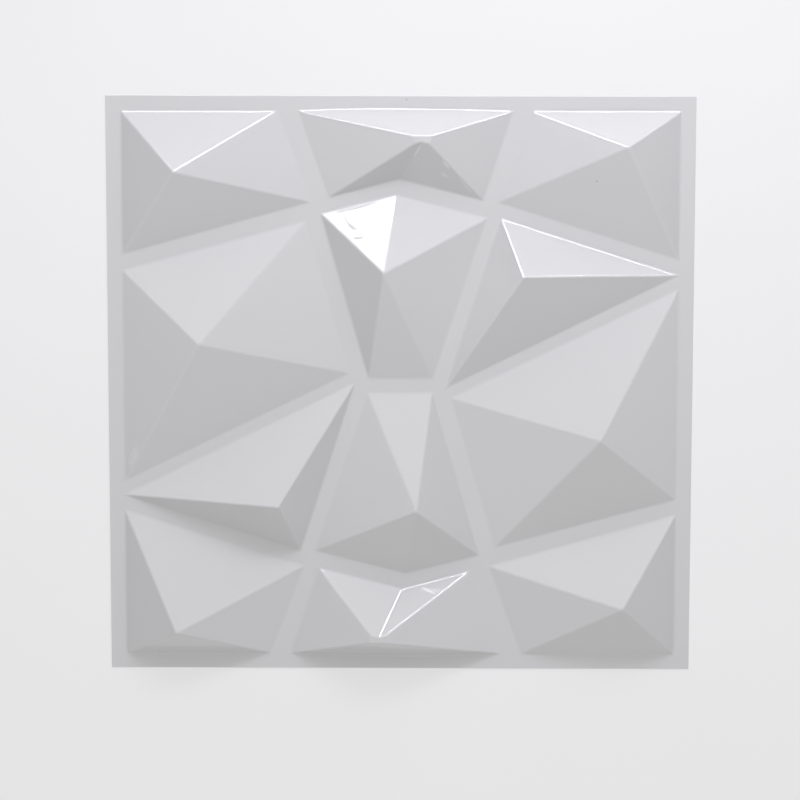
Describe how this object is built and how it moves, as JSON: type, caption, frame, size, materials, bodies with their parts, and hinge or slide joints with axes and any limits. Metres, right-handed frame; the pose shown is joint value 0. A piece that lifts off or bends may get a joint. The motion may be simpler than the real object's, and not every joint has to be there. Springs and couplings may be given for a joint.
{
  "type": "3d wall panel tile",
  "caption": "Square formed plastic wall tile with hollow faceted pyramids standing out of a flat border and flat strips between them, open at the back.",
  "frame": {"origin": "middle of the panel's square, in the plane of its flat back", "axes": "+Z out of the front, +Y to the edge that is uppermost in the picture, +X to the right as seen from the front"},
  "size_m": [0.5, 0.5, 0.0328],
  "materials": {
    "pvc_sheet": "smooth glossy light grey"
  },
  "bodies": {
    "root": {"panel": "pvc_sheet"}
  },
  "joints": []
}
